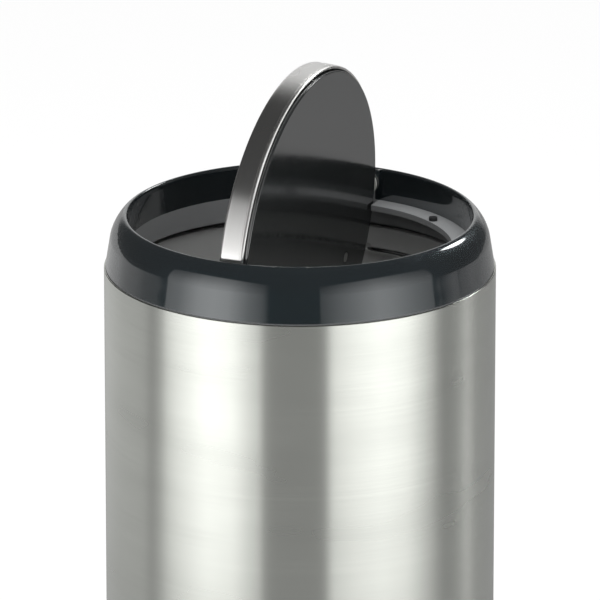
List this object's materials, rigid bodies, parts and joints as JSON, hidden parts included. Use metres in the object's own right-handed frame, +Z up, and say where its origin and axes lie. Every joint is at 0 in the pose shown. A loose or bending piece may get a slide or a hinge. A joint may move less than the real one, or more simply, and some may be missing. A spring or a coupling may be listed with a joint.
{
  "type": "push top countertop bin",
  "caption": "Round countertop waste bin: steel body, glossy collar and a rocking lid whose steel half rises when its plastic half is pushed down.",
  "frame": {"origin": "bin's axis, on the surface it stands on", "axes": "+Z up, +X along the lid's hinge axis, -Y towards the side that the steel half of the lid covers when shut"},
  "size_m": [0.1708, 0.1708, 0.315],
  "materials": {
    "body_steel": "fine brushed stainless steel, grain round the body",
    "lid_steel": "fine brushed stainless steel, slightly brighter than the body",
    "plain_steel": "plain pressed steel sheet",
    "pin_steel": "ground steel rod",
    "screw_steel": "bright zinc plate",
    "bail_wire": "bright plated wire",
    "collar_gloss": "polished, lacquered moulded plastic, blue-black",
    "lid_gloss": "polished moulded plastic, charcoal",
    "black_plastic": "fine-textured moulded plastic, black",
    "ring_plastic": "satin moulded plastic, mid grey",
    "bucket_plastic": "satin moulded plastic, light grey",
    "bush_plastic": "turned bearing plastic, off-white",
    "foot_rubber": "soft rubber, black"
  },
  "bodies": {
    "base": {"outer_shell": "body_steel", "base_pan": "plain_steel", "base_ring": "black_plastic", "rubber_feet": "foot_rubber", "base_screws": "screw_steel"},
    "collar": {"collar": "collar_gloss", "pivot_ring": "ring_plastic", "collar_screws": "screw_steel", "grip_ring": "foot_rubber", "stop_pads": "foot_rubber", "pivot_bush_left": "bush_plastic", "pivot_bush_right": "bush_plastic"},
    "lid": {"steel_cap": "lid_steel", "push_plate": "lid_gloss", "lid_tray": "lid_gloss", "lid_screws": "screw_steel", "pivot_pin_left": "pin_steel", "pivot_pin_right": "pin_steel"},
    "bucket": {"inner_bucket": "bucket_plastic"},
    "bail": {"bucket_bail": "bail_wire", "bail_grip": "black_plastic"}
  },
  "joints": [
    {"name": "collar_lift", "type": "slide", "parent": "base", "child": "collar", "axis": [0, 0, 1], "range_m": [0, 0.5]},
    {"name": "lid_swing", "type": "hinge", "parent": "collar", "child": "lid", "pos_m": [0, 0, 0.2429], "axis": [-1, 0, 0], "range_deg": [-85.9, 0]},
    {"name": "bucket_lift", "type": "slide", "parent": "base", "child": "bucket", "axis": [0, 0, 1], "range_m": [0, 0.23]},
    {"name": "bail_swing", "type": "hinge", "parent": "bucket", "child": "bail", "pos_m": [0, 0, 0.2133], "axis": [-1, 0, 0], "range_deg": [0, 90]}
  ],
  "couplings": [
    {"joint": "bucket_lift", "follows": "collar_lift", "ratio": 0.45},
    {"joint": "bail_swing", "follows": "collar_lift", "rad_per_m": 3.14}
  ]
}
